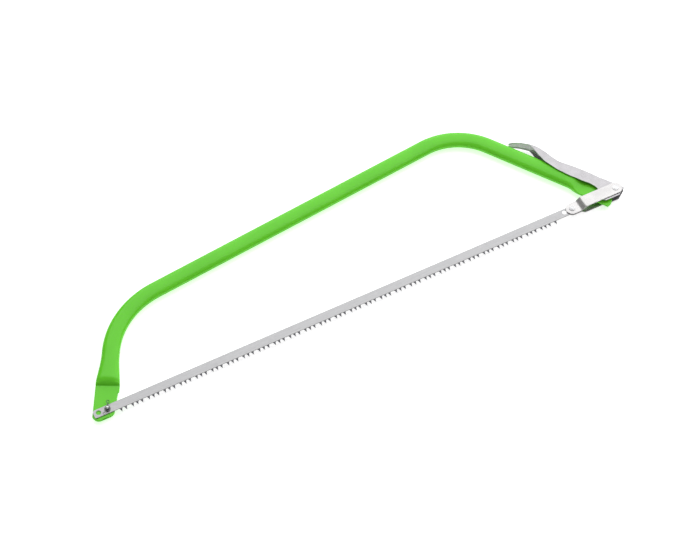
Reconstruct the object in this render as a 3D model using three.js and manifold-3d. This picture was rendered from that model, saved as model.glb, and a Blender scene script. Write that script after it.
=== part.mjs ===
// Bow saw for green wood: a bent oval tube that carries a thin peg-toothed blade between its two
// pressed-flat ends, with an over-centre tension lever on the handle leg.
// Millimetres, +Z up. The saw lies on its side: the blade runs along X, the bow rises towards +Y.
// Everything is drawn from the nose stud (x = 0, y = 0) and the tube's mid-plane (z = 0), and the
// finished group is then moved so that its origin is the middle of its underside.
import * as THREE from 'three';
import { mergeVertices } from 'three/addons/utils/BufferGeometryUtils.js';
import Module from 'manifold-3d';

const wasm = await Module();
wasm.setup();

// ---- driving dimensions -------------------------------------------------------------------
const GAP = 0.3; // air between pieces that touch

const BLADE_SPAN = 748.5; // nose stud to tail rivet
const HOLE_PITCH = 13.3; // the two holes at each end of the blade
const BLADE_END = 7.5; // steel beyond the outermost hole
const BLADE_THICK = 0.9;
const BLADE_BACK = 6.2; // line of the holes to the back edge
const BLADE_GULLET = 7.2; // line of the holes to the bottom of the gullets
const TOOTH_HEIGHT = 6;
const TOOTH_FOOT = 4.6;
const TOOTH_WAIST = 0.35; // its half width just below the gullet line, as a share of the foot
const TOOTH_PITCH = 7.04; // inside a group of three
const GROUP_PITCH = 24.3;
const GROUPS = 28;
const FIRST_TOOTH = 17;
const TAIL_HOLE_R = 3.0;
const NOSE_HOLE_R = 3.6; // loose on the stud, so the blade can be lifted off

const TUBE_HALF_WIDE = 13;
const TUBE_HALF_THICK = 7;
const TUBE_WALL = 1.2;
const FLAT_HALF_WIDE = 17; // where the ends are pressed flat
const FLAT_THICK = 3.2;
const NOSE_FLAT_TOP = -0.75; // the nose is pressed down so that the blade lies in mid-plane
const NOSE_FLAT_LENGTH = 39.5; // along the leg, from the line of the blade
const TAIL_FLAT_LENGTH = 34;
const NOSE_NECK = 48; // over which the flat's width runs down to the tube's
const TAIL_NECK = 24;
const RING_POINTS = 20;

const NOSE_FOOT = new THREE.Vector2(-3.6, 0); // where the nose leg's axis crosses the blade line
const NOSE_CORNER = new THREE.Vector2(72.7, 143.7);
const TOP_CORNER = new THREE.Vector2(664.3, 207.9);
const HANDLE_FOOT = new THREE.Vector2(805.4, 0);
const NOSE_BEND_R = 126;
const TOP_BEND_R = 94;

const PIVOT = new THREE.Vector2(800.5, -3.2); // lever on the frame
const LINK_EYE = new THREE.Vector2(823, 0); // links on the lever
const TAIL_EYE = new THREE.Vector2(BLADE_SPAN, 0); // links on the blade
const TONGUE = new THREE.Vector2(797.5, -5); // centre of the tube's round end
const TONGUE_R = 15;

const SHEET = 1.5; // lever and links
const PIVOT_R = 3;
const RIVET_R = 2.6;
const STUD_R = 2.4;
const WASHER_R = 4.4;

// ---- solids -------------------------------------------------------------------------------
// A geometry from a list of [x, y, z] points and a list of triangles, turned outwards.
function solidFrom(points, triangles) {
  let volume = 0;
  const a = new THREE.Vector3();
  const b = new THREE.Vector3();
  const c = new THREE.Vector3();
  for (const [i, j, k] of triangles) {
    a.fromArray(points[i]);
    b.fromArray(points[j]);
    c.fromArray(points[k]);
    volume += a.dot(b.cross(c));
  }
  const faces = volume < 0 ? triangles.map(([i, j, k]) => [i, k, j]) : triangles;
  const geometry = new THREE.BufferGeometry();
  geometry.setAttribute('position', new THREE.Float32BufferAttribute(points.flat(), 3));
  geometry.setIndex(faces.flat());
  return geometry;
}

// A closed solid through a row of rings that all have the same number of points. The end caps are
// cut into triangles from the ring's outline in its own plane, given as Vector2 lists.
function loft(rings, firstOutline, lastOutline) {
  const size = rings[0].length;
  const triangles = [];
  for (let row = 0; row + 1 < rings.length; row += 1) {
    for (let i = 0; i < size; i += 1) {
      const j = (i + 1) % size;
      const low = row * size;
      const high = low + size;
      triangles.push([low + i, low + j, high + j], [low + i, high + j, high + i]);
    }
  }
  const last = (rings.length - 1) * size;
  for (const [i, j, k] of capTriangles(firstOutline)) triangles.push([i, k, j]);
  for (const [i, j, k] of capTriangles(lastOutline)) triangles.push([last + i, last + j, last + k]);
  return solidFrom(rings.flat(), triangles);
}

// Triangles over an outline, wound the way the outline runs.
function capTriangles(outline) {
  const clockwise = THREE.ShapeUtils.area(outline) < 0;
  const faces = THREE.ShapeUtils.triangulateShape(outline, []);
  return faces.map(([i, j, k]) => {
    const [p, q, r] = [outline[i], outline[j], outline[k]];
    const turned = (q.x - p.x) * (r.y - p.y) - (q.y - p.y) * (r.x - p.x) < 0;
    return turned === clockwise ? [i, j, k] : [i, k, j];
  });
}

function plate(shape, low, high, curveSegments = 8) {
  const settings = { depth: high - low, bevelEnabled: false, curveSegments };
  return new THREE.ExtrudeGeometry(shape, settings).translate(0, 0, low);
}

// A solid turned about an upright axis at a point, from [radius, height] pairs.
function turned(profile, at, segments = 24) {
  const outline = profile.map(([radius, height]) => new THREE.Vector2(radius, height));
  const geometry = new THREE.LatheGeometry(outline, segments);
  return geometry.rotateX(Math.PI / 2).translate(at.x, at.y, 0);
}

function cylinder(radius, low, high, at, segments = 24) {
  return turned([[0, low], [radius, low], [radius, high], [0, high]], at, segments);
}

function toManifold(geometry) {
  const bare = geometry.clone();
  bare.deleteAttribute('normal');
  bare.deleteAttribute('uv');
  const merged = mergeVertices(bare, 1e-4);
  const index = Array.from(merged.index.array);
  const points = merged.attributes.position.array;
  const kept = [];
  for (let i = 0; i < index.length; i += 3) {
    const [a, b, c] = index.slice(i, i + 3);
    if (a !== b && b !== c && c !== a) kept.push(a, b, c);
  }
  const mesh = new wasm.Mesh({
    numProp: 3,
    vertProperties: new Float32Array(points),
    triVerts: new Uint32Array(kept),
  });
  return new wasm.Manifold(mesh);
}

// A geometry less every cutter.
function cut(geometry, cutters) {
  let solid = toManifold(geometry);
  for (const cutter of cutters) solid = solid.subtract(toManifold(cutter));
  const mesh = solid.getMesh();
  const result = new THREE.BufferGeometry();
  result.setAttribute('position', new THREE.BufferAttribute(new Float32Array(mesh.vertProperties), 3));
  result.setIndex(new THREE.BufferAttribute(new Uint32Array(mesh.triVerts), 1));
  return result;
}

function smooth(low, high, value) {
  const t = Math.min(Math.max((value - low) / (high - low), 0), 1);
  return t * t * (3 - 2 * t);
}

// Straight-line reading of a table of [place, value] knots.
function along(knots, place) {
  let i = 1;
  while (i < knots.length - 1 && place > knots[i][0]) i += 1;
  const [x0, y0] = knots[i - 1];
  const [x1, y1] = knots[i];
  const t = Math.min(Math.max((place - x0) / (x1 - x0), 0), 1);
  return y0 + t * (y1 - y0);
}

// ---- materials ----------------------------------------------------------------------------
const greenPaint = () => new THREE.MeshStandardMaterial({ color: 0x5cbf1e, roughness: 0.3, metalness: 0 });
const zincSheet = () => new THREE.MeshStandardMaterial({ color: 0xc9c9cc, roughness: 0.35, metalness: 1 });
const bladeSteel = () => new THREE.MeshStandardMaterial({ color: 0xbababa, roughness: 0.4, metalness: 1 });
const rivetSteel = () => new THREE.MeshStandardMaterial({ color: 0xd2d2d4, roughness: 0.3, metalness: 1 });

// ---- the bow ------------------------------------------------------------------------------
const noseUp = NOSE_CORNER.clone().sub(NOSE_FOOT).normalize();
const handleUp = TOP_CORNER.clone().sub(HANDLE_FOOT).normalize();
const handleOut = new THREE.Vector2(handleUp.y, -handleUp.x);

// A point given by its distance up the handle leg and its distance out from the leg's axis.
function onHandle(up, out) {
  return HANDLE_FOOT.clone().addScaledVector(handleUp, up).addScaledVector(handleOut, out);
}

// Stations along the bow's axis: position, and the left-hand normal there.
function bowStations() {
  const stations = [];
  const add = (point, direction) => {
    stations.push({ point, normal: new THREE.Vector2(-direction.y, direction.x) });
  };
  const topRun = TOP_CORNER.clone().sub(NOSE_CORNER).normalize();
  const handleDown = handleUp.clone().negate();
  const bend = (corner, from, to, radius, steps) => {
    const turn = Math.acos(from.dot(to));
    const start = corner.clone().addScaledVector(from, -radius * Math.tan(turn / 2));
    const centre = start.clone().add(new THREE.Vector2(from.y, -from.x).multiplyScalar(radius));
    for (let i = 0; i <= steps; i += 1) {
      const direction = from.clone().rotateAround(new THREE.Vector2(), (-turn * i) / steps);
      const spoke = new THREE.Vector2(-direction.y, direction.x).multiplyScalar(radius);
      add(centre.clone().add(spoke), direction);
    }
  };
  for (const place of [-24, 20, 36, 39.5, 42, 44.5, 47, 49.5, 52, 56, 61, 67, 74, 81, 88]) {
    add(NOSE_FOOT.clone().addScaledVector(noseUp, place), noseUp);
  }
  bend(NOSE_CORNER, noseUp, topRun, NOSE_BEND_R, 10);
  bend(TOP_CORNER, topRun, handleDown, TOP_BEND_R, 10);
  for (const place of [66, 61, 57, 53, 50, 47, 44, 40, 36, 20, -30]) {
    add(HANDLE_FOOT.clone().addScaledVector(handleUp, place), handleDown);
  }
  return stations;
}

// Half width, upper and lower height and squareness of the tube's section at a station.
function bowSection(point) {
  const upNose = point.clone().sub(NOSE_FOOT).dot(noseUp);
  const upHandle = point.clone().sub(HANDLE_FOOT).dot(handleUp);
  const onNose = point.x < TOP_CORNER.x / 2;
  const place = onNose ? upNose : upHandle;
  const flatLength = onNose ? NOSE_FLAT_LENGTH : TAIL_FLAT_LENGTH;
  const flatTop = onNose ? NOSE_FLAT_TOP : FLAT_THICK / 2;
  const flatBottom = flatTop - FLAT_THICK;
  const wide = smooth(flatLength - 2, flatLength + (onNose ? NOSE_NECK : TAIL_NECK), place);
  const top = smooth(flatLength, flatLength + (onNose ? 12 : 22), place);
  const bottom = smooth(flatLength - 2, flatLength + 22, place);
  return {
    halfWide: FLAT_HALF_WIDE + (TUBE_HALF_WIDE - FLAT_HALF_WIDE) * wide,
    top: flatTop + (TUBE_HALF_THICK - flatTop) * top,
    bottom: flatBottom + (-TUBE_HALF_THICK - flatBottom) * bottom,
    squareness: 8 + (2.4 - 8) * smooth(flatLength, flatLength + 18, place),
  };
}

// The tube's skin, or the hollow inside it when it is shrunk by the wall.
function bowSkin(inset, overrun) {
  const stations = bowStations();
  const rings = [];
  const outlines = [];
  stations.forEach((station, row) => {
    const section = bowSection(station.point);
    const halfWide = section.halfWide - inset;
    const halfThick = (section.top - section.bottom) / 2 - inset;
    const middle = (section.top + section.bottom) / 2;
    const power = 2 / section.squareness;
    const centre = station.point.clone();
    const ahead = new THREE.Vector2(station.normal.y, -station.normal.x);
    if (row === 0) centre.addScaledVector(ahead, -overrun);
    if (row === stations.length - 1) centre.addScaledVector(ahead, overrun);
    const ring = [];
    const outline = [];
    for (let i = 0; i < RING_POINTS; i += 1) {
      const angle = (2 * Math.PI * (i + 0.5)) / RING_POINTS;
      const cosine = Math.cos(angle);
      const sine = Math.sin(angle);
      const across = halfWide * Math.sign(cosine) * Math.abs(cosine) ** power;
      const height = middle + halfThick * Math.sign(sine) * Math.abs(sine) ** power;
      const place = centre.clone().addScaledVector(station.normal, across);
      ring.push([place.x, place.y, height]);
      outline.push(new THREE.Vector2(across, height));
    }
    rings.push(ring);
    outlines.push(outline);
  });
  return loft(rings, outlines[0], outlines[outlines.length - 1]);
}

// What the shears take off the nose: the end is cut parallel to the blade, with round corners,
// and the side towards the blade is notched back.
function noseOffcut() {
  const notch = NOSE_FOOT.clone().addScaledVector(noseUp, 31);
  const side = new THREE.Vector2(noseUp.y, -noseUp.x);
  const lip = notch.clone().addScaledVector(side, FLAT_HALF_WIDE + 2);
  const heel = notch.clone().addScaledVector(side, 15.4).addScaledVector(noseUp, -2);
  const toe = notch.clone().addScaledVector(side, 13.4).addScaledVector(noseUp, -31);
  const offcut = new THREE.Shape();
  offcut.moveTo(-60, -50);
  offcut.lineTo(60, -50);
  offcut.lineTo(60, lip.y);
  offcut.lineTo(lip.x, lip.y);
  offcut.lineTo(heel.x, heel.y);
  offcut.lineTo(toe.x, toe.y);
  offcut.quadraticCurveTo(toe.x - 2.5, -12, toe.x - 8, -12);
  offcut.lineTo(-15, -12);
  offcut.quadraticCurveTo(-22, -11.5, -25, -2);
  offcut.lineTo(-60, -2);
  offcut.closePath();
  return plate(offcut, -20, 20);
}

// What is taken off the handle end: it is rounded about the lever's pivot, so that the lever
// can swing past it.
function tailOffcut() {
  const shoulder = onHandle(24, FLAT_HALF_WIDE + 1.5);
  const outAngle = Math.atan2(handleOut.y, handleOut.x);
  const offcut = new THREE.Shape();
  offcut.moveTo(780, -60);
  offcut.lineTo(880, -60);
  offcut.lineTo(880, shoulder.y);
  offcut.lineTo(shoulder.x, shoulder.y);
  offcut.absarc(TONGUE.x, TONGUE.y, TONGUE_R, outAngle, -Math.PI / 2, true);
  offcut.lineTo(780, TONGUE.y - TONGUE_R);
  offcut.closePath();
  return plate(offcut, -20, 20, 16);
}

function frameTube() {
  const stud = cylinder(STUD_R + GAP, -20, 20, new THREE.Vector2());
  const pivot = cylinder(PIVOT_R + GAP, -20, 20, PIVOT);
  return cut(bowSkin(0, 0), [bowSkin(TUBE_WALL, 1), noseOffcut(), tailOffcut(), stud, pivot]);
}

// ---- the blade ----------------------------------------------------------------------------
// Places of the tooth tips: groups of three with a wider gap between them. The blade is cut from
// a long strip, so the row starts with the last two teeth of a group and ends with one tooth.
function toothPlaces() {
  const places = [FIRST_TOOTH, FIRST_TOOTH + TOOTH_PITCH];
  const firstGroup = FIRST_TOOTH - TOOTH_PITCH + GROUP_PITCH;
  for (let group = 0; group < GROUPS; group += 1) {
    for (let tooth = 0; tooth < 3; tooth += 1) {
      places.push(firstGroup + group * GROUP_PITCH + tooth * TOOTH_PITCH);
    }
  }
  places.push(firstGroup + GROUPS * GROUP_PITCH);
  return places;
}

function blade() {
  const left = -HOLE_PITCH - BLADE_END;
  const right = BLADE_SPAN + BLADE_END;
  const outline = new THREE.Shape();
  outline.moveTo(left + 4, BLADE_BACK);
  outline.quadraticCurveTo(left, BLADE_BACK, left, BLADE_BACK - 4);
  outline.lineTo(left, -BLADE_GULLET + 3);
  outline.quadraticCurveTo(left, -BLADE_GULLET, left + 3, -BLADE_GULLET);
  for (const place of toothPlaces()) {
    outline.lineTo(place - TOOTH_FOOT / 2, -BLADE_GULLET);
    outline.lineTo(place - TOOTH_FOOT * TOOTH_WAIST, -BLADE_GULLET - 1.4);
    outline.lineTo(place, -BLADE_GULLET - TOOTH_HEIGHT);
    outline.lineTo(place + TOOTH_FOOT * TOOTH_WAIST, -BLADE_GULLET - 1.4);
    outline.lineTo(place + TOOTH_FOOT / 2, -BLADE_GULLET);
  }
  outline.lineTo(right, -BLADE_GULLET);
  outline.lineTo(right, BLADE_BACK);
  outline.closePath();
  const holes = [
    [-HOLE_PITCH, NOSE_HOLE_R],
    [0, NOSE_HOLE_R],
    [BLADE_SPAN - HOLE_PITCH, NOSE_HOLE_R],
    [BLADE_SPAN, TAIL_HOLE_R],
  ];
  for (const [place, radius] of holes) {
    const hole = new THREE.Path();
    hole.absarc(place, 0, radius, 0, 2 * Math.PI, true);
    outline.holes.push(hole);
  }
  return plate(outline, -BLADE_THICK / 2, BLADE_THICK / 2, 10);
}

// ---- the tension lever --------------------------------------------------------------------
// Distance of the channel's back from the leg's axis, its free edge, and its half width, each
// against the distance up the leg from the line of the blade.
const LEVER_BACK = [
  [-20, 24.4], [32, 23], [65, 21], [80, 19.7], [88, 19.7], [99, 22.4], [113, 26.6], [124, 28.8],
  [132, 29.6], [140, 28.9], [152, 25.8], [160, 22.2], [168, 17.6],
];
const LEVER_EDGE = [
  [-20, 8], [-10, -7], [-7, -12], [0, -12.7], [6, -9.5], [11, 0.8], [19, 4.2], [28, 4.8], [40, 2.9],
  [60, 2], [81, 3.6], [105, 9], [118, 15.6], [130, 23.5], [138, 27],
];
const LEVER_INNER = [
  [-20, 4.9], [22, 4.9], [50, 7.9], [118, 7.9], [132, 6.8], [145, 6], [156, 5.6], [162, 5], [166, 3.8],
  [168, 2.4],
];
const LEVER_STATIONS = [
  -20, -17, -14, -10, -7, -4, 0, 3, 6, 8.5, 11, 15, 19, 23, 28, 34, 40, 46, 52, 60, 70, 80, 88, 94, 99,
  105, 111, 118, 124, 130, 135, 140, 146, 152, 156, 160, 163, 166, 168,
];

function leverChannel() {
  const rings = [];
  const outlines = [];
  for (const up of LEVER_STATIONS) {
    const back = along(LEVER_BACK, up);
    const edge = Math.min(along(LEVER_EDGE, up), back - SHEET - 0.6);
    const inner = along(LEVER_INNER, up);
    const outer = inner + SHEET;
    const roll = Math.min(2.4, inner * 0.6);
    const eased = roll * 0.3;
    const side = [[edge, outer], [back - roll, outer], [back - eased, outer - eased], [back, outer - roll]];
    const hollow = [[back - SHEET, inner - roll * 0.3], [back - SHEET - roll * 0.3, inner], [edge, inner]];
    const mirror = (list) => list.map(([out, height]) => [out, -height]).reverse();
    const section = [...side, ...mirror(side), ...mirror(hollow), ...hollow];
    rings.push(section.map(([out, height]) => {
      const place = onHandle(up, out);
      return [place.x, place.y, height];
    }));
    outlines.push(section.map(([out, height]) => new THREE.Vector2(out, height)));
  }
  const channel = loft(rings, outlines[0], outlines[outlines.length - 1]);
  const pivot = cylinder(PIVOT_R + GAP, -20, 20, PIVOT);
  const eye = cylinder(RIVET_R + GAP, -20, 20, LINK_EYE);
  return cut(channel, [pivot, eye]);
}

// ---- the links ----------------------------------------------------------------------------
const LINK_HALF_WIDE = 9.8;
const LINK_HIGH = 6.7; // underside of the link where it lies on the lever
const LINK_LOW = 0.75; // underside where it lies on the blade
const JOG = [9.5, 20]; // the bend between them, from the tail rivet

// One link: a strip with round ends, stepped down to the blade. side is 1 above, -1 below.
function linkPlate(side) {
  const length = LINK_EYE.x - TAIL_EYE.x;
  const reach = LINK_HALF_WIDE;
  const places = [];
  for (let i = 1; i <= 6; i += 1) places.push(-reach * Math.cos((Math.PI / 2) * (i / 6)));
  places.push(5, 8);
  for (let i = 0; i <= 6; i += 1) places.push(JOG[0] + ((JOG[1] - JOG[0]) * i) / 6);
  places.push(35, 55);
  for (let i = 0; i <= 5; i += 1) places.push(length + reach * Math.sin((Math.PI / 2) * (i / 6)));
  const rings = [];
  const outlines = [];
  for (const place of places) {
    const beyond = Math.max(-place, place - length, 0);
    const halfWide = Math.sqrt(reach ** 2 - beyond ** 2);
    const under = LINK_LOW + (LINK_HIGH - LINK_LOW) * smooth(JOG[0], JOG[1], place);
    const over = under + SHEET;
    const section = [[halfWide, under], [halfWide, over], [-halfWide, over], [-halfWide, under]];
    rings.push(section.map(([y, z]) => [TAIL_EYE.x + place, TAIL_EYE.y + y, side * z]));
    outlines.push(section.map(([y, z]) => new THREE.Vector2(y, side * z)));
  }
  const strip = loft(rings, outlines[0], outlines[outlines.length - 1]);
  const tail = cylinder(RIVET_R + GAP, -20, 20, TAIL_EYE);
  const eye = cylinder(RIVET_R + GAP, -20, 20, LINK_EYE);
  return cut(strip, [tail, eye]);
}

// ---- pins and rivets ----------------------------------------------------------------------
// A rivet with a low domed head at each end.
function rivet(at, grip, headR, headHeight) {
  const profile = [
    [0, -grip - headHeight], [headR * 0.55, -grip - headHeight * 0.9], [headR, -grip - headHeight * 0.3],
    [headR, -grip], [RIVET_R, -grip], [RIVET_R, grip], [headR, grip], [headR, grip + headHeight * 0.3],
    [headR * 0.55, grip + headHeight * 0.9], [0, grip + headHeight],
  ];
  return turned(profile, at);
}

// The distance piece on the pivot between the tube's flat end and one side of the lever.
function pivotBush(side) {
  const low = FLAT_THICK / 2 + GAP;
  const high = 4.9 - GAP;
  const bore = PIVOT_R + GAP;
  const profile = [[bore, low], [6, low], [6, high], [bore, high], [bore, low]];
  const geometry = turned(profile, PIVOT);
  return side > 0 ? geometry : geometry.rotateX(Math.PI).translate(0, 2 * PIVOT.y, 0);
}

const PIN_HEIGHT = 3.3; // the split pin, above the blade's mid-plane
const PIN_WIRE_R = 0.42;
const PIN_SPREAD = 0.52; // each leg from the pin's centre line
const PIN_DIRECTION = new THREE.Vector2(0.46, 0.89).normalize(); // towards the eye

function noseStud() {
  const under = NOSE_FLAT_TOP - FLAT_THICK - GAP;
  const profile = [
    [0, under - 1.6], [2.6, under - 1.4], [4.4, under - 0.5], [4.4, under], [STUD_R, under],
    [STUD_R, 5.2], [STUD_R * 0.8, 5.9], [STUD_R * 0.45, 6.2], [0, 6.3],
  ];
  const drill = new THREE.CylinderGeometry(1.25, 1.25, 12, 16);
  drill.rotateZ(Math.atan2(PIN_DIRECTION.y, PIN_DIRECTION.x) - Math.PI / 2).translate(0, 0, PIN_HEIGHT);
  return cut(turned(profile, new THREE.Vector2()), [drill]);
}

function studWasher() {
  const low = BLADE_THICK / 2 + GAP;
  const high = low + 0.9;
  const bore = STUD_R + GAP;
  const profile = [[bore, low], [WASHER_R, low], [WASHER_R, high], [bore, high], [bore, low]];
  return turned(profile, new THREE.Vector2());
}

// The split pin: one wire doubled back at an eye, its two legs through the stud and bent apart.
function splitPin() {
  const eyeR = 1.9;
  const across = new THREE.Vector2(-PIN_DIRECTION.y, PIN_DIRECTION.x);
  const at = (ahead, aside) => {
    const place = new THREE.Vector2().addScaledVector(PIN_DIRECTION, ahead).addScaledVector(across, aside);
    return new THREE.Vector3(place.x, place.y, PIN_HEIGHT);
  };
  const points = [at(-9.4, 5.6), at(-6.9, 3.2), at(-4.4, 1.2), at(-3.2, PIN_SPREAD), at(0, PIN_SPREAD)];
  points.push(at(7, PIN_SPREAD));
  for (let i = 0; i <= 8; i += 1) {
    const angle = Math.PI * 0.85 - (Math.PI * 1.7 * i) / 8;
    points.push(at(10.2 + eyeR * Math.cos(angle), eyeR * Math.sin(angle)));
  }
  points.push(at(7, -PIN_SPREAD), at(0, -PIN_SPREAD), at(-3.2, -PIN_SPREAD), at(-4.4, -1.2), at(-6.6, -3.8));
  const section = new THREE.Shape();
  section.absarc(0, 0, PIN_WIRE_R, 0, 2 * Math.PI);
  const path = new THREE.CatmullRomCurve3(points, false, 'centripetal');
  return new THREE.ExtrudeGeometry(section, { steps: 60, curveSegments: 4, extrudePath: path });
}

// ---- the saw ------------------------------------------------------------------------------
const saw = new THREE.Group();

function addPiece(name, geometry, material) {
  const mesh = new THREE.Mesh(geometry, material);
  mesh.name = name;
  saw.add(mesh);
}

addPiece('frame_tube', frameTube(), greenPaint());
addPiece('blade', blade(), bladeSteel());
addPiece('tension_lever', leverChannel(), zincSheet());
addPiece('link_plate_near', linkPlate(1), zincSheet());
addPiece('link_plate_far', linkPlate(-1), zincSheet());
addPiece('lever_pivot_pin', cylinder(PIVOT_R, -6.4, 6.4, PIVOT), rivetSteel());
addPiece('pivot_bush_near', pivotBush(1), rivetSteel());
addPiece('pivot_bush_far', pivotBush(-1), rivetSteel());
addPiece('link_pin', rivet(LINK_EYE, LINK_HIGH + SHEET + GAP, 4.6, 0.9), rivetSteel());
addPiece('tail_rivet', rivet(TAIL_EYE, LINK_LOW + SHEET + GAP, 4.4, 1.3), rivetSteel());
addPiece('nose_stud', noseStud(), rivetSteel());
addPiece('stud_washer', studWasher(), rivetSteel());
addPiece('split_pin', splitPin(), rivetSteel());

const box = new THREE.Box3().setFromObject(saw);
const middle = box.getCenter(new THREE.Vector3());
saw.position.set(-middle.x, -middle.y, -box.min.z);
saw.updateMatrixWorld(true);

export default saw;
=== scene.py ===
import bmesh
import bpy
import numpy as np
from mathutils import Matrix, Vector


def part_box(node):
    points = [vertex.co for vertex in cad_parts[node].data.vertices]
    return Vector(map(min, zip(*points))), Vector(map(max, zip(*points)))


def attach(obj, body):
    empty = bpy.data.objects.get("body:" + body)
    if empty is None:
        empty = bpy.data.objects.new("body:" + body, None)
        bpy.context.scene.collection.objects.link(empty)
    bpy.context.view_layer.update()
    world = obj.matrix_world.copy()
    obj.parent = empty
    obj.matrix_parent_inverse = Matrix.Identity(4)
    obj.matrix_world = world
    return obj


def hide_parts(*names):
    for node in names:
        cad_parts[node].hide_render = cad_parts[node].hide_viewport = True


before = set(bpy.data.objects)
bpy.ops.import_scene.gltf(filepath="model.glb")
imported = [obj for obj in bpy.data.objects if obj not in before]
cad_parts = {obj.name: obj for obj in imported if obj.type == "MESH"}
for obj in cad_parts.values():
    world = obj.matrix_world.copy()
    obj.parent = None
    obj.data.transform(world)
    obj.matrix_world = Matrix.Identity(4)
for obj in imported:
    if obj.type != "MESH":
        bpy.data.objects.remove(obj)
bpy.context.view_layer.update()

# ---- The bow ---------------------------------------------------------------------------------
# One oval steel tube with two cold bends. Both ends are pressed flat in a die, then sheared: the
# nose parallel to the blade with a notch above it, the handle end round about the lever's pivot.
# It is sprayed with light green enamel and stoved, which leaves a glossy, slightly rippled skin.

# Sizes are millimetres from the nose stud and the blade's mid-plane.
stud_middle = (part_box("nose_stud")[0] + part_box("nose_stud")[1]) / 2
rivet_middle = (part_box("tail_rivet")[0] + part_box("tail_rivet")[1]) / 2
STUD_AT = np.array([stud_middle.x, stud_middle.y, rivet_middle.z])

NOSE_FOOT, NOSE_CORNER = np.array([-3.6, 0.0]), np.array([72.7, 143.7])
TOP_CORNER, HANDLE_FOOT = np.array([664.3, 207.9]), np.array([805.4, 0.0])
NOSE_BEND, TOP_BEND = 126.0, 94.0
TUBE_WIDE, TUBE_THICK = 12.85, 7.0
FLAT_WIDE, FLAT_THICK = 17.0, 3.2
NOSE_FACE = -0.75
NOSE_FLAT, TAIL_FLAT = 39.5, 34.0
NOSE_NECK, TAIL_NECK = 48.0, 24.0
OVAL, PRESSED = 2.4, 8.0
SHEAR, SHOULDER = -12.0, -11.0
NOTCH_UP, HEEL, TOE = 29.0, -15.4, -13.4
TONGUE, TONGUE_R = np.array([797.5, -5.0]), 14.9
PIVOT, PIVOT_HOLE, STUD_HOLE = (800.5, -3.2), 3.3, 2.7


def skin(name, rings):
    """Faces over rows of closed rings, given as rows x points x 3: each point is joined to the next
    one of its ring and to the same one of the next ring. Points that coincide are merged, which
    closes poles and folded ends, and then the faces are turned outwards."""
    rows, points = rings.shape[:2]
    number = np.arange(rows * points).reshape(rows, points)
    here, ahead = number[:-1], number[1:]
    faces = np.stack([here, np.roll(here, -1, 1), np.roll(ahead, -1, 1), ahead], -1)
    mesh = bpy.data.meshes.new(name)
    mesh.from_pydata((rings.reshape(-1, 3) / 1000 + STUD_AT).tolist(), [], faces.reshape(-1, 4).tolist())
    shell = bmesh.new()
    shell.from_mesh(mesh)
    bmesh.ops.remove_doubles(shell, verts=shell.verts, dist=2e-6)
    bmesh.ops.recalc_face_normals(shell, faces=shell.faces)
    shell.to_mesh(mesh)
    shell.free()
    piece = bpy.data.objects.new(name, mesh)
    bpy.context.scene.collection.objects.link(piece)
    crisp(mesh)
    return piece


def crisp(mesh, degrees=32):
    """Smooth shading, broken where two faces meet at more than the given angle."""
    mesh.shade_smooth()
    mesh.set_sharp_from_angle(angle=np.radians(degrees))


def revolve(name, profile, at, points=64):
    """A profile of (radius, height) pairs carried round an upright axis: x and y are the radius
    times the cosine and sine of the turn."""
    radius, height = np.array(profile, float).T[:, :, None]
    turn = 2 * np.pi * np.arange(points) / points
    flat = np.broadcast_to(height, (len(profile), points))
    return skin(name, np.stack([at[0] + radius * np.cos(turn), at[1] + radius * np.sin(turn), flat], -1))


def bore(piece, at, radius, low=-15.0, high=15.0):
    """Drills an upright round hole: the piece less a cylinder of that radius."""
    drill = revolve("drill", [(0, low), (radius, low), (radius, high), (0, high)], at, 48)
    cut_with(piece, drill)


def cut_with(piece, cutter):
    """Takes the cutter's volume off the piece, and throws the cutter away."""
    cut = piece.modifiers.new("cut", "BOOLEAN")
    cut.operation, cut.solver, cut.object = "DIFFERENCE", "EXACT", cutter
    ready = piece.evaluated_get(bpy.context.evaluated_depsgraph_get())
    mesh = bpy.data.meshes.new_from_object(ready)
    piece.modifiers.clear()
    piece.data = mesh
    crisp(mesh)
    bpy.data.objects.remove(cutter)


def ease(low, high, value):
    """0 below low, 1 above high, and three t squared less two t cubed between."""
    t = np.clip((value - low) / (high - low), 0, 1)
    return t * t * (3 - 2 * t)


def rise(low, high, value):
    """0 below low and 1 above high: one less the power 2.4 of what is left of the way, so that it
    leaves the crease at a steep angle and arrives level."""
    return 1 - (1 - np.clip((value - low) / (high - low), 0, 1)) ** 2.4


def unit(vector):
    """The vector over its length."""
    return vector / np.linalg.norm(vector)


def leg_point(foot, up, side, places, across):
    """Points beside a leg: the foot, plus the place times up, plus the distance across times side."""
    return foot + np.multiply.outer(places, up) + np.multiply.outer(across, side)


def between(first, last, count):
    """A straight row of points from first to last, without the last."""
    t = np.linspace(0, 1, count, endpoint=False)[:, None]
    return first + t * (last - first)


def hooked(first, control, last, count):
    """A round corner: (1 - t) squared times first, plus 2 t (1 - t) times control, plus t squared
    times last."""
    t = np.linspace(0, 1, count)[:, None]
    return (1 - t) ** 2 * first + 2 * t * (1 - t) * control + t**2 * last


nose_up = unit(NOSE_CORNER - NOSE_FOOT)
nose_left = np.array([-nose_up[1], nose_up[0]])
handle_up = unit(TOP_CORNER - HANDLE_FOOT)
handle_out = np.array([handle_up[1], -handle_up[0]])


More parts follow.
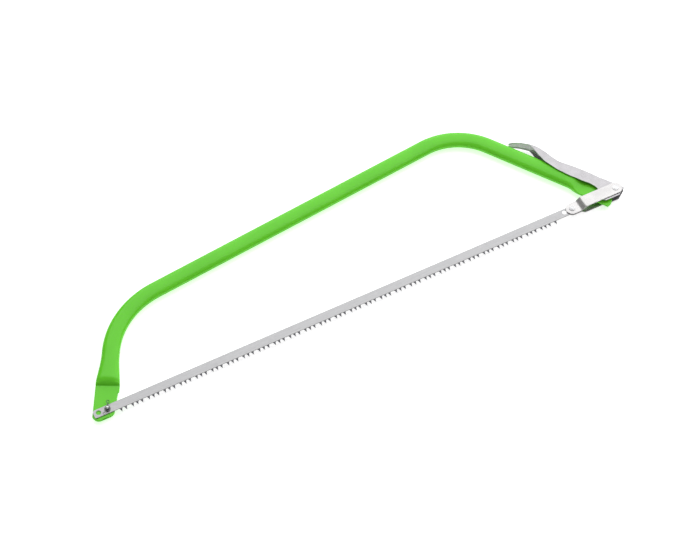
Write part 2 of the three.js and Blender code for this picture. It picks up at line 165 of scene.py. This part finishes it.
def bow_axis():
    """Points and left-hand normals along the axis between the two flats: straight, an arc of each
    bend's radius about a centre on its normal, and straight again."""
    top_run, down = unit(TOP_CORNER - NOSE_CORNER), -handle_up
    points, headings = [], []
    start = leg_point(NOSE_FOOT, nose_up, nose_left, np.linspace(88.5, 95, 3, endpoint=False), np.zeros(3))
    points.append(start)
    headings.append(np.tile(nose_up, (3, 1)))
    for corner, come, go, radius in (
        (NOSE_CORNER, nose_up, top_run, NOSE_BEND),
        (TOP_CORNER, top_run, down, TOP_BEND),
    ):
        turn = np.arccos(come @ go)
        begin = corner - come * radius * np.tan(turn / 2)
        right = np.array([come[1], -come[0]])
        a = np.linspace(0, turn, 60)[:, None]
        points.append(begin + radius * (right * (1 - np.cos(a)) + come * np.sin(a)))
        headings.append(come * np.cos(a) + right * np.sin(a))
    gap = between(points[1][-1], points[2][0], 24)[1:]
    points.insert(2, gap)
    headings.insert(2, np.tile(top_run, (len(gap), 1)))
    tail = between(points[3][-1], leg_point(HANDLE_FOOT, handle_up, handle_out, 60, 0), 12)[1:]
    points.append(tail)
    headings.append(np.tile(down, (len(tail), 1)))
    points, headings = np.vstack(points), np.vstack(headings)
    return points, np.stack([-headings[:, 1], headings[:, 0]], -1)


def nose_edges():
    """The nose's two edges in plan, from the sheared end past the notch up to the round tube. Each
    point is the place up the leg, and the eased half width or the notch's depth across it."""
    places = np.concatenate([
        np.linspace(NOTCH_UP + 0.9, 39.2, 8), np.linspace(39.5, 60, 30), np.linspace(61, 88, 18),
    ])
    wide = FLAT_WIDE + (TUBE_WIDE - FLAT_WIDE) * ease(NOSE_FLAT - 2, NOSE_FLAT + NOSE_NECK, places)
    left = leg_point(NOSE_FOOT, nose_up, nose_left, places, wide)
    right = leg_point(NOSE_FOOT, nose_up, nose_left, places, -wide)
    heel = leg_point(NOSE_FOOT, nose_up, nose_left, NOTCH_UP, HEEL)
    toe = leg_point(NOSE_FOOT, nose_up, nose_left, 0.0, TOE)
    shoulder = leg_point(NOSE_FOOT, nose_up, nose_left, SHOULDER, FLAT_WIDE)
    left_low = hooked(np.array([-15.0, SHEAR]), np.array([-22.5, SHEAR + 0.3]), shoulder, 14)
    right_low = hooked(np.array([0.2, SHEAR]), np.array([toe[0] - 2.5, SHEAR]), toe, 14)
    opposite = leg_point(NOSE_FOOT, nose_up, nose_left, NOTCH_UP + 0.3, FLAT_WIDE)
    left = np.vstack([left_low, between(shoulder, opposite, 14)[1:], between(opposite, left[0], 5), left])
    right = np.vstack([right_low, between(toe, heel, 14)[1:], between(heel, right[0], 5), right])
    return left, right


def tail_edges():
    """The handle end's two edges in plan, from the round tube down to its rounded tip, which is an
    arc of its own radius round a centre below the pivot."""
    places = np.concatenate([np.linspace(60, 34, 30), np.linspace(33, 21.4, 8)])
    wide = FLAT_WIDE + (TUBE_WIDE - FLAT_WIDE) * ease(TAIL_FLAT - 2, TAIL_FLAT + TAIL_NECK, places)
    inner = leg_point(HANDLE_FOOT, handle_up, handle_out, places, -wide)
    outer = leg_point(HANDLE_FOOT, handle_up, handle_out, places, wide)
    start = np.arctan2(handle_out[1], handle_out[0])
    tip = leg_point(HANDLE_FOOT, handle_up, handle_out, -12.0, -FLAT_WIDE)
    end = np.arctan2(tip[1] - TONGUE[1], tip[0] - TONGUE[0])
    a = np.linspace(start, end, 26)[:, None]
    arc = TONGUE + TONGUE_R * np.hstack([np.cos(a), np.sin(a)])
    outer = np.vstack([outer, between(outer[-1], arc[0], 12)[1:], arc])
    inner = np.vstack([inner, between(inner[-1], tip, 37)[1:], tip[None]])
    return inner, outer


def bow_rings(points=96):
    """Every row of the tube: a superellipse between a left and a right edge, whose half width,
    top, bottom and squareness follow the distance up the leg: the cosine across and the sine in
    height, each to the power two over the squareness, with its sign kept. At both ends it is
    rounded over, and folds into the slit that is left between the two pressed walls."""
    nose_left_edge, nose_right_edge = nose_edges()
    axis, normal = bow_axis()
    inner, outer = tail_edges()
    left = np.vstack([nose_left_edge, (axis + TUBE_WIDE * normal)[1:], outer])
    right = np.vstack([nose_right_edge, (axis - TUBE_WIDE * normal)[1:], inner])
    middle = (left + right) / 2
    on_nose = np.arange(len(middle)) < len(nose_left_edge) + len(axis) // 2
    up = np.where(on_nose, (middle - NOSE_FOOT) @ nose_up, (middle - HANDLE_FOOT) @ handle_up)
    flat = np.where(on_nose, NOSE_FLAT, TAIL_FLAT)
    face = np.where(on_nose, NOSE_FACE, FLAT_THICK / 2)
    low = face - FLAT_THICK
    top_lift = np.where(on_nose, rise(flat, flat + 13, up), ease(flat, flat + 22, up))
    top = face + (TUBE_THICK - face) * top_lift
    bottom = low + (-TUBE_THICK - low) * ease(flat - 2, flat + 22, up)
    square = PRESSED + (OVAL - PRESSED) * ease(flat - 1, flat + np.where(on_nose, 6, 18), up)
    half = (top - bottom) / 2
    height = (top + bottom) / 2
    # The rounded lip and the slit: how far each extra row lies outwards, its share of the width
    # and its share of the thickness.
    lip = [(0.0, 1.0, 0.8), (0.35, 0.985, 0.55), (0.4, 0.96, 0.14), (-2.5, 0.93, 0.12), (-2.5, 0.93, 0.0)]
    outward = {0: np.array([0.0, -1.0]), -1: unit(middle[-1] - TONGUE)}
    rows = []
    for end in (0, -1):
        extra = []
        for step, wide, thick in lip:
            centre = middle[end] + outward[end] * (step - 0.4)
            span = (left[end] - right[end]) / 2 * wide
            extra.append((centre + span, centre - span, half[end] * thick, height[end], square[end]))
        rows.append(extra[::-1] if end == 0 else extra)
    body = list(zip(left, right, half, height, square))
    body[0] = (left[0] + [0, 0.4], right[0] + [0, 0.4], half[0], height[0], square[0])
    rows = rows[0] + body + rows[1]
    left, right, half, height, square = (np.array(column) for column in zip(*rows))
    angle = 2 * np.pi * (np.arange(points) + 0.5) / points
    power = (2 / square)[:, None]
    across = np.sign(np.cos(angle)) * np.abs(np.cos(angle)) ** power
    lift = np.sign(np.sin(angle)) * np.abs(np.sin(angle)) ** power
    plan = ((left + right) / 2)[:, None] + across[:, :, None] * ((left - right) / 2)[:, None]
    z = height[:, None] + lift * half[:, None]
    return np.concatenate([plan, z[:, :, None]], -1)


def new_material(name, colour, **sockets):
    """A material with one shader. What is the same all over is set on the shader's own sockets."""
    material = bpy.data.materials.new(name)
    material.use_nodes = True
    shader = material.node_tree.nodes["Principled BSDF"]
    shader.inputs["Base Color"].default_value = (*colour, 1)
    for socket, value in sockets.items():
        shader.inputs[socket.replace("_", " ").title().replace("Ior", "IOR")].default_value = value
    return material, shader


def mottle(material, scale, detail=3.0, stretch=(1, 1, 1), roughness=0.5):
    """Cloudy variation fixed to the piece: noise over its own coordinates, in metres, which are
    multiplied by stretch first."""
    nodes, links = material.node_tree.nodes, material.node_tree.links
    place = nodes.new("ShaderNodeTexCoord")
    pull = nodes.new("ShaderNodeMapping")
    pull.inputs["Scale"].default_value = stretch
    noise = nodes.new("ShaderNodeTexNoise")
    noise.inputs["Scale"].default_value = scale
    noise.inputs["Detail"].default_value = detail
    noise.inputs["Roughness"].default_value = roughness
    links.new(place.outputs["Object"], pull.inputs["Vector"])
    links.new(pull.outputs["Vector"], noise.inputs["Vector"])
    return noise.outputs["Fac"]


def shades(material, source, stops):
    """Colours along a ramp, chosen by a value from 0 to 1."""
    ramp = material.node_tree.nodes.new("ShaderNodeValToRGB")
    line = ramp.color_ramp
    while len(line.elements) < len(stops):
        line.elements.new(0.5)
    for element, (place, colour) in zip(line.elements, stops):
        element.position = place
        element.color = (*colour, 1)
    material.node_tree.links.new(source, ramp.inputs["Fac"])
    return ramp.outputs["Color"]


def spread(material, source, low, high, start=0.3, end=0.7):
    """A value carried from the range start to end on to the range low to high."""
    reach = material.node_tree.nodes.new("ShaderNodeMapRange")
    for socket, value in (("From Min", start), ("From Max", end), ("To Min", low), ("To Max", high)):
        reach.inputs[socket].default_value = value
    material.node_tree.links.new(source, reach.inputs["Value"])
    return reach.outputs["Result"]


def ripple(material, shader, source, strength, depth, sockets=("Normal",)):
    """Relief of that depth in metres, from a height between 0 and 1."""
    bump = material.node_tree.nodes.new("ShaderNodeBump")
    bump.inputs["Strength"].default_value = strength
    bump.inputs["Distance"].default_value = depth
    material.node_tree.links.new(source, bump.inputs["Height"])
    for socket in sockets:
        material.node_tree.links.new(bump.outputs["Normal"], shader.inputs[socket])


green_enamel, gloss = new_material(
    "green_enamel", (0.14, 0.72, 0.02), roughness=0.42, specular_ior_level=0.12,
    coat_weight=0.6, coat_roughness=0.12, coat_ior=1.42,
)
thickness_of_paint = mottle(green_enamel, 14, 3)
tint = shades(green_enamel, thickness_of_paint, [(0.3, (0.135, 0.69, 0.018)), (0.7, (0.155, 0.75, 0.022))])
green_enamel.node_tree.links.new(tint, gloss.inputs["Base Color"])
green_enamel.node_tree.links.new(
    spread(green_enamel, mottle(green_enamel, 90, 2), 0.36, 0.48), gloss.inputs["Roughness"]
)
ripple(green_enamel, gloss, mottle(green_enamel, 420, 2), 0.12, 0.0002, ("Normal", "Coat Normal"))

bow = skin("bow_tube", bow_rings())
bore(bow, (0, 0), STUD_HOLE)
bore(bow, PIVOT, PIVOT_HOLE)
bow.data.materials.append(green_enamel)
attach(bow, "frame")
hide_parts("frame_tube")

# ---- The blade -------------------------------------------------------------------------------
# A strip of rolled saw steel, punched with two holes at each end. The peg teeth stand in groups of
# three; they are ground to spikes, set to left and right in turn, and hardened by a quick burst of
# heat that leaves them dark. The rest keeps the grey of the rolled strip.
HOLE_PITCH, SPAN, BLADE_END = 13.3, 748.5, 7.5
HALF_BLADE, BACK, GULLET, TOOTH, TOOTH_HALF = 0.45, 6.2, 7.2, 6.0, 2.3
SET_OUT = 0.32
ROUND_HOLE, RIVET_HOLE = 3.6, 3.0
# Two teeth come first, then the groups of three, then a single tooth.
FIRST_TOOTH, LAST_TOOTH, NEXT_TOOTH = 17.0, 697.66, 7.04
GROUPS, GROUP_START, GROUP_PITCH = 28, 17.26, 24.3
grouped = GROUP_START + GROUP_PITCH * np.arange(GROUPS)[:, None] + NEXT_TOOTH * np.arange(3)
teeth = FIRST_TOOTH + np.concatenate([[0, NEXT_TOOTH], grouped.ravel(), [LAST_TOOTH]])


def corner_loss(place, end, radius):
    """How much a round corner takes off the height at a distance from the end: the radius less the
    root of its square less the square of what is left to the arc's centre."""
    left = np.clip(radius - np.abs(place - end), 0, radius)
    return radius - np.sqrt(radius**2 - left**2)


def blade_rings():
    """Columns along the blade, each a flat ring. Below the gullet line a tooth reaches down by its
    height times (1 - u) to the power 1.25, u being the distance from its middle over half its foot.
    It leans out with the power 1.5 of the depth, to alternate sides, and thins to its point."""
    left, right = -HOLE_PITCH - BLADE_END, SPAN + BLADE_END
    fine = TOOTH_HALF * np.sign(np.linspace(-1, 1, 17)) * np.linspace(-1, 1, 17) ** 2
    ends = np.linspace(0, 1, 12) ** 2 * 5
    places = np.unique(np.round(np.concatenate([
        np.arange(left, right, 3.0), (teeth[:, None] + fine).ravel(), left + ends, right - ends,
    ]), 4))
    near = np.abs(places[:, None] - teeth).argmin(1)
    u = np.clip(np.abs(places - teeth[near]) / TOOTH_HALF, 0, 1)
    reach = TOOTH * (1 - u) ** 1.25
    back = BACK - corner_loss(places, left, 4.0) - corner_loss(places, right, 1.5)
    low = -GULLET + corner_loss(places, left, 3.0) + corner_loss(places, right, 1.5)
    body = np.array([0, 0.02, 0.25, 0.5, 0.75, 0.98, 1.0])
    depth = np.linspace(0, 1, 8)[1:]
    y = np.hstack([back[:, None] + body * (low - back)[:, None], low[:, None] - depth * reach[:, None]])
    sunk = np.clip((-GULLET - y) / TOOTH, 0, 1)
    side = np.where(near % 2, 1.0, -1.0)[:, None]
    lean = side * SET_OUT * sunk**1.5
    thick = HALF_BLADE * (1 - 0.45 * sunk)
    thick[:, 0] = HALF_BLADE * 0.6
    thick[0] = thick[-1] = 0
    x = np.broadcast_to(places[:, None], y.shape)
    upper = np.stack([x, y, lean + thick], -1)
    lower = np.stack([x, y, lean - thick], -1)
    return np.concatenate([upper, lower[:, ::-1]], 1)


def height_in(material, socket, low, high):
    """The piece's own X, Y or Z coordinate, carried from low to high (metres) on to 0 to 1."""
    nodes, links = material.node_tree.nodes, material.node_tree.links
    place, split = nodes.new("ShaderNodeTexCoord"), nodes.new("ShaderNodeSeparateXYZ")
    links.new(place.outputs["Object"], split.inputs["Vector"])
    return spread(material, split.outputs[socket], 0, 1, low, high)


saw_steel, rolled = new_material("saw_steel", (0.5, 0.5, 0.5), metallic=0.85, roughness=0.4)
tip_line = STUD_AT[1] - (GULLET + TOOTH) / 1000
hardened = shades(saw_steel, height_in(saw_steel, "Y", tip_line, tip_line + 0.009), [
    (0.0, (0.07, 0.07, 0.075)), (0.6, (0.10, 0.10, 0.11)),
    (0.67, (0.20, 0.195, 0.19)), (0.73, (0.44, 0.44, 0.445)),
])
streaks = shades(saw_steel, mottle(saw_steel, 60, 4, (1, 14, 1)), [
    (0.25, (0.86, 0.86, 0.87)), (0.75, (1, 1, 1)),
])
join = saw_steel.node_tree.nodes.new("ShaderNodeMix")
join.data_type, join.blend_type = "RGBA", "MULTIPLY"
join.inputs["Factor"].default_value = 1
saw_steel.node_tree.links.new(hardened, join.inputs["A"])
saw_steel.node_tree.links.new(streaks, join.inputs["B"])
saw_steel.node_tree.links.new(join.outputs["Result"], rolled.inputs["Base Color"])
saw_steel.node_tree.links.new(
    spread(saw_steel, mottle(saw_steel, 200, 3, (1, 8, 1)), 0.34, 0.48), rolled.inputs["Roughness"]
)
ripple(saw_steel, rolled, mottle(saw_steel, 700, 3, (0.15, 4, 1)), 0.15, 0.00005)

strip = skin("saw_blade", blade_rings())
for place in (-HOLE_PITCH, 0, SPAN - HOLE_PITCH):
    bore(strip, (place, 0), ROUND_HOLE)
bore(strip, (SPAN, 0), RIVET_HOLE)
strip.data.materials.append(saw_steel)
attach(strip, "blade")
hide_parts("blade")

# ---- The tension lever -----------------------------------------------------------------------
# Sheet steel 1.5 mm thick, blanked and folded in a press into a channel whose back curves away from
# the leg to a finger tab, then zinc plated. It hugs the flattened tube at its foot and widens above.
# The tables give places up the leg and, for each, how far out the back's outside and the sides' free
# edge lie, and how far the sides' inside is from mid-plane. SHEET is half the sheet's thickness.
SHEET = 0.75
LINK_EYE, EYE_HOLE = (823.0, 0.0), 2.9
LEVER_BACK = [(-20, 24.4), (32, 23), (65, 21), (80, 19.7), (88, 19.7), (99, 22.4), (113, 26.6), (124, 28.8),
              (132, 29.6), (140, 28.9), (152, 25.8), (160, 22.2), (168, 17.6)]
LEVER_EDGE = [(-20, 8), (-10, -7), (-7, -12), (0, -12.7), (6, -9.5), (11, 0.8), (19, 4.2), (28, 4.8),
              (40, 2.9), (60, 2), (81, 3.6), (105, 9), (118, 15.6), (130, 23.5), (138, 27)]
LEVER_INNER = [(-20, 4.9), (22, 4.9), (50, 7.9), (118, 7.9), (132, 6.8), (145, 6), (156, 5.6), (162, 5),
               (166, 3.8), (168, 2.4)]


def faired(knots, places, blur):
    """A table read along straight lines, then averaged over a bell of that width to take the
    corners out, as the press does."""
    x, y = np.array(knots, float).T
    reach = np.linspace(-2.5, 2.5, 21)
    weight = np.exp(-(reach**2) / 2)
    read = np.interp(places[:, None] + reach * blur, x, y)
    return read @ (weight / weight.sum())


def lever_rings():
    """Sections up the leg. Each is a channel's middle line, side, quarter round, back, quarter
    round, side, with half the sheet's thickness put on along its normals. Edges are rounded."""
    up = np.unique(np.concatenate([np.linspace(-20, 168, 150), [-19.8, 167.8]]))
    back = faired(LEVER_BACK, up, 1.6) - SHEET
    edge = np.minimum(faired(LEVER_EDGE, up, 0.9), back - 1.6)
    wide = faired(LEVER_INNER, up, 1.2) + SHEET
    roll = np.minimum(1.9, wide * 0.6)
    quarter = np.linspace(0, np.pi / 2, 9)
    side = np.concatenate([[0, 0.006], np.linspace(0.03, 1, 12)])
    out_side = edge[:, None] + side * (back - roll - edge)[:, None]
    out_roll = (back - roll)[:, None] + roll[:, None] * np.sin(quarter[1:])
    z_roll = (wide - roll)[:, None] + roll[:, None] * np.cos(quarter[1:])
    out = np.hstack([out_side, out_roll])
    z = np.hstack([np.broadcast_to(wide[:, None], out_side.shape), z_roll])
    out, z = np.hstack([out, out[:, ::-1]]), np.hstack([z, -z[:, ::-1]])
    along_out, along_z = np.gradient(out, axis=1), np.gradient(z, axis=1)
    length = np.hypot(along_out, along_z)
    normal_out, normal_z = -along_z / length, along_out / length
    thick = np.full(out.shape, SHEET)
    thick[:, [0, -1]] *= 0.55
    thick[[0, -1]] = 0
    rings = []
    for sign in (1, -1):
        o, h = out + sign * thick * normal_out, z + sign * thick * normal_z
        plan = leg_point(HANDLE_FOOT, handle_up, handle_out, np.broadcast_to(up[:, None], o.shape), o)
        rings.append(np.concatenate([plan, h[:, :, None]], -1))
    return np.concatenate([rings[0], rings[1][:, ::-1]], 1)


def plating(name, colour, rough):
    """Plated steel, or steel coloured near black as painted shade: grey metal with a faint cloudy bloom,
    fine draw marks and a soft, uneven polish."""
    plated, face = new_material(name, colour, metallic=0.9, roughness=rough)
    pale = tuple(min(1.0, c * 1.06) for c in colour)
    dull = tuple(c * 0.92 for c in colour)
    bloom = shades(plated, mottle(plated, 70, 3), [(0.3, dull), (0.7, pale)])
    plated.node_tree.links.new(bloom, face.inputs["Base Color"])
    plated.node_tree.links.new(
        spread(plated, mottle(plated, 240, 3), rough - 0.06, rough + 0.08), face.inputs["Roughness"]
    )
    ripple(plated, face, mottle(plated, 160, 2), 0.05, 0.00003)
    return plated


sheet_zinc = plating("sheet_zinc", (0.42, 0.41, 0.425), 0.3)

lever = skin("lever_channel", lever_rings())
bore(lever, PIVOT, PIVOT_HOLE)
bore(lever, LINK_EYE, EYE_HOLE)
lever.data.materials.append(sheet_zinc)
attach(lever, "lever")
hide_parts("tension_lever")

# ---- The two links ---------------------------------------------------------------------------
# Strips of the same sheet with round ends, one on each face of the lever. Each is stepped down in
# the press near its blade end, so that the two close on the thin blade between them.
TAIL_EYE = (748.5, 0.0)
LINK_WIDE, LINK_HIGH, LINK_LOW, STEP = 9.8, 6.7, 0.75, (9.5, 20.0)
LINK_LONG = LINK_EYE[0] - TAIL_EYE[0]


def link_rings(side):
    """Sections along the link: a flat ring with rounded rims, whose half width is the root of the
    width's square less the square of the way past an eye, and whose height is eased over the step."""
    turn = np.linspace(0, np.pi / 2, 22)
    places = np.concatenate([-LINK_WIDE * np.cos(turn), np.linspace(1, 9, 6), np.linspace(9.5, 20, 20),
                             np.linspace(22, LINK_LONG - 1, 16), LINK_LONG + LINK_WIDE * np.sin(turn)])
    beyond = np.maximum(np.maximum(-places, places - LINK_LONG), 0)
    wide = np.sqrt(np.clip(LINK_WIDE**2 - beyond**2, 0, None))
    middle = LINK_LOW + SHEET + (LINK_HIGH - LINK_LOW) * ease(*STEP, places)
    inset = np.array([0, 0.12, 0.3, 0.5])
    rim = np.array([0.0, 0.62, 0.92, 1.0]) * SHEET
    flank = np.concatenate([inset, [3.0], [6.0]])
    lift = np.concatenate([rim, [SHEET, SHEET]])
    y = np.clip(wide[:, None] - flank, 0, None)
    y = np.hstack([y, -y[:, ::-1]])
    h = np.concatenate([lift, lift[::-1]])
    x = np.broadcast_to((TAIL_EYE[0] + places)[:, None], y.shape)
    top = np.stack([x, y, side * (middle[:, None] + h)], -1)
    under = np.stack([x, y, side * (middle[:, None] - h)], -1)
    return np.concatenate([top, under[:, ::-1]], 1)


# The links get a paler grey than the lever though they are the same zinc sheet: painted highlight, for the
# brighter reflection on them.
paler_zinc_painted_highlight = plating("paler_zinc_painted_highlight", (0.56, 0.55, 0.55), 0.3)
for name, side in (("near", 1), ("far", -1)):
    link = skin("link_strip_" + name, link_rings(side))
    bore(link, TAIL_EYE, EYE_HOLE)
    bore(link, LINK_EYE, EYE_HOLE)
    link.data.materials.append(paler_zinc_painted_highlight)
    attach(link, "links")
    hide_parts("link_plate_" + name)

# ---- The lever's pivot -----------------------------------------------------------------------
# A plain pin, flush with the lever's sides so that the links pass over it, with a turned bush on
# each side of the flattened tube to keep the lever central.
rivet_zinc = plating("rivet_zinc", (0.60, 0.60, 0.61), 0.2)

pin = revolve("pivot_pin", [(0, -6.4), (2.7, -6.4), (3, -6.1), (3, 6.1), (2.7, 6.4), (0, 6.4)], PIVOT)
pin.data.materials.append(rivet_zinc)
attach(pin, "frame")
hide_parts("lever_pivot_pin")

for name, side in (("near", 1), ("far", -1)):
    shape = [(3.3, 1.9), (5.7, 1.9), (6, 2.2), (6, 4.3), (5.7, 4.6), (3.3, 4.6), (3.3, 1.9)]
    bush = revolve("bush_" + name, [(r, side * h) for r, h in shape], PIVOT)
    bush.data.materials.append(rivet_zinc)
    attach(bush, "frame")
    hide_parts("pivot_bush_" + name)

# ---- The two rivets --------------------------------------------------------------------------
# Steel rivets with a low collar and a raised, rolled centre. The longer one joins the links to the
# lever and turns with it; the short one joins them to the blade.


def rivet_profile(shank, grip, head, height):
    """Half of a rivet as (radius, height) pairs, mirrored: shank, collar with a round rim, a
    shallow ring and a dome that falls with the square of the radius."""
    dome = np.linspace(0.62, 0, 9)
    crown = [(head * r, grip + height * (1 - 0.45 * (r / 0.62) ** 2)) for r in dome]
    collar = [
        (shank, grip), (head - 0.15, grip), (head, grip + 0.15), (head, grip + height * 0.3),
        (head - 0.2, grip + height * 0.42), (head * 0.74, grip + height * 0.46),
        (head * 0.68, grip + height * 0.4),
    ]
    upper = collar + crown
    return [(r, -h) for r, h in upper[::-1]] + upper


for name, node, at, grip, head, height, body in (
    ("link_rivet", "link_pin", LINK_EYE, 8.5, 4.6, 0.9, "lever"),
    ("blade_rivet", "tail_rivet", TAIL_EYE, 2.55, 4.4, 1.3, "links"),
):
    rivet = revolve(name, rivet_profile(2.6, grip, head, height), at)
    rivet.data.materials.append(rivet_zinc)
    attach(rivet, body)
    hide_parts(node)

# ---- The nose stud and its washer ------------------------------------------------------------
# A turned stud with a round head below the nose. It stands up through nose and blade and is drilled
# across for the split pin, which holds a flat steel washer down on the blade. The washer is coloured near
# black: painted shade, for the shade round the stud.
PIN_HEIGHT = 3.3
pin_ahead = unit(np.array([0.46, 0.89]))
pin_aside = np.array([-pin_ahead[1], pin_ahead[0]])


def wire(name, path, radius, points=16):
    """A round wire: a circle carried along a level path, square to it, with folded-in ends."""
    heading = np.gradient(path, axis=0)
    heading /= np.linalg.norm(heading, axis=1)[:, None]
    side = np.stack([-heading[:, 1], heading[:, 0], np.zeros(len(path))], -1)
    turn = 2 * np.pi * np.arange(points) / points
    size = np.full(len(path), radius)
    size[[1, -2]], size[[0, -1]] = radius * 0.8, 0
    ring = np.cos(turn)[:, None] * side[:, None] + np.sin(turn)[:, None] * np.array([0, 0, 1.0])
    return skin(name, path[:, None] + size[:, None, None] * ring)


dome = [(2.4 * np.cos(a), 5.0 + 1.3 * np.sin(a)) for a in np.linspace(0, np.pi / 2, 10)]
foot = [(0, -5.85), (1.5, -5.8), (3.2, -5.5), (4.1, -5.0), (4.4, -4.55), (4.4, -4.25), (2.4, -4.25)]
stud = revolve("blade_stud", foot + dome, (0, 0))
reach = np.array([-1, -0.999, 0.999, 1])[:, None] * np.append(pin_ahead, 0) * 6
cut_with(stud, wire("drill", reach + [0, 0, PIN_HEIGHT], 1.25, 32))
stud.data.materials.append(rivet_zinc)
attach(stud, "frame")
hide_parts("nose_stud")

ring = [
    (2.7, 0.75), (4.25, 0.75), (4.4, 0.9), (4.4, 1.45), (4.15, 1.65), (2.9, 1.65), (2.7, 1.5), (2.7, 0.75),
]
washer = revolve("blade_washer", ring, (0, 0))
# Near black for the washer and the split pin: painted shade, standing in for the shade round the stud.
near_black_painted_shade = plating("near_black_painted_shade", (0.13, 0.13, 0.14), 0.26)
washer.data.materials.append(near_black_painted_shade)
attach(washer, "frame")
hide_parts("stud_washer")

# ---- The split pin ---------------------------------------------------------------------------
# Soft steel wire doubled back on itself round an eye, coloured near black: painted shade. Its two legs go
# through the stud and are bent apart behind it, so that it can't work loose.
WIRE = 0.42
turns = np.pi * np.linspace(0.85, -0.85, 30)
eye = np.stack([10.2 + 1.9 * np.cos(turns), 1.9 * np.sin(turns)], -1)
first_leg = np.array([[-9.4, 5.6], [-6.9, 3.2], [-4.4, 1.2], [-3.2, 0.52], [0, 0.52], [7, 0.52]])
last_leg = np.array([[7, -0.52], [0, -0.52], [-3.2, -0.52], [-4.4, -1.2], [-6.6, -3.8]])
bend = np.vstack([first_leg, eye, last_leg])
run = np.concatenate([[0], np.cumsum(np.linalg.norm(np.diff(bend, axis=0), axis=1))])
steps = np.linspace(0, run[-1], 180)
line = np.stack([faired(np.stack([run, bend[:, axis]], -1), steps, 0.35) for axis in (0, 1)], -1)
flat_line = line[:, :1] * pin_ahead + line[:, 1:] * pin_aside
cotter = wire("cotter", np.hstack([flat_line, np.full((len(line), 1), PIN_HEIGHT)]), WIRE)
cotter.data.materials.append(near_black_painted_shade)
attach(cotter, "frame")
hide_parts("split_pin")

# ---- The floor, the light and the camera -----------------------------------------------------
# A white bench, lit from within so that shadows on it stay light. One very large soft panel leans
# over the handle's side, under a grey ceiling and dark walls that draw a dark line on round edges.
paper = new_material(
    "bench", (0.9, 0.9, 0.9), roughness=0.9, specular_ior_level=0.1,
    emission_color=(1, 1, 1, 1), emission_strength=0.6,
)[0]
bench_mesh = bpy.data.meshes.new("bench")
bench_mesh.from_pydata([(-6, -6, 0), (6, -6, 0), (6, 6, 0), (-6, 6, 0)], [], [(0, 1, 2, 3)])
bench = bpy.data.objects.new("bench", bench_mesh)
bench.data.materials.append(paper)
bpy.context.scene.collection.objects.link(bench)

walls = bpy.data.worlds.new("walls")
walls.use_nodes = True
sky, wall_links = walls.node_tree.nodes, walls.node_tree.links
way_out, upward, fade = (sky.new("ShaderNode" + kind) for kind in ("TexCoord", "SeparateXYZ", "MapRange"))
for socket, value in (("From Min", 0.2), ("From Max", 0.6), ("To Min", 0.04), ("To Max", 0.42)):
    fade.inputs[socket].default_value = value
wall_links.new(way_out.outputs["Generated"], upward.inputs["Vector"])
wall_links.new(upward.outputs["Z"], fade.inputs["Value"])
wall_links.new(fade.outputs["Result"], sky["Background"].inputs["Strength"])
sky["Background"].inputs["Color"].default_value = (1, 1, 1, 1)
bpy.context.scene.world = walls


def panel(name, towards, distance, wide, deep, power):
    """A soft light of that width and depth, at that distance from the saw in the given direction,
    facing it."""
    lamp = bpy.data.lights.new(name, "AREA")
    lamp.shape, lamp.size, lamp.size_y, lamp.energy = "RECTANGLE", wide, deep, power
    holder = bpy.data.objects.new(name, lamp)
    way = Vector(towards).normalized()
    holder.location = way * distance
    holder.rotation_mode = "QUATERNION"
    holder.rotation_quaternion = way.to_track_quat("Z", "Y")
    bpy.context.scene.collection.objects.link(holder)


panel("soft_panel", towards=(0.50, 0.50, 0.70), distance=3.5, wide=7.0, deep=6.0, power=185)

camera = bpy.data.objects.new("camera", bpy.data.cameras.new("camera"))
camera.data.lens, camera.data.sensor_width = 95.27, 36
camera.location = STUD_AT + np.array([-289.025, -1296.433, 2224.543]) / 1000
camera.rotation_euler = np.radians([34.0, 0, -27.2])
bpy.context.scene.collection.objects.link(camera)
bpy.context.scene.camera = camera
bpy.context.scene.view_settings.view_transform = "Standard"
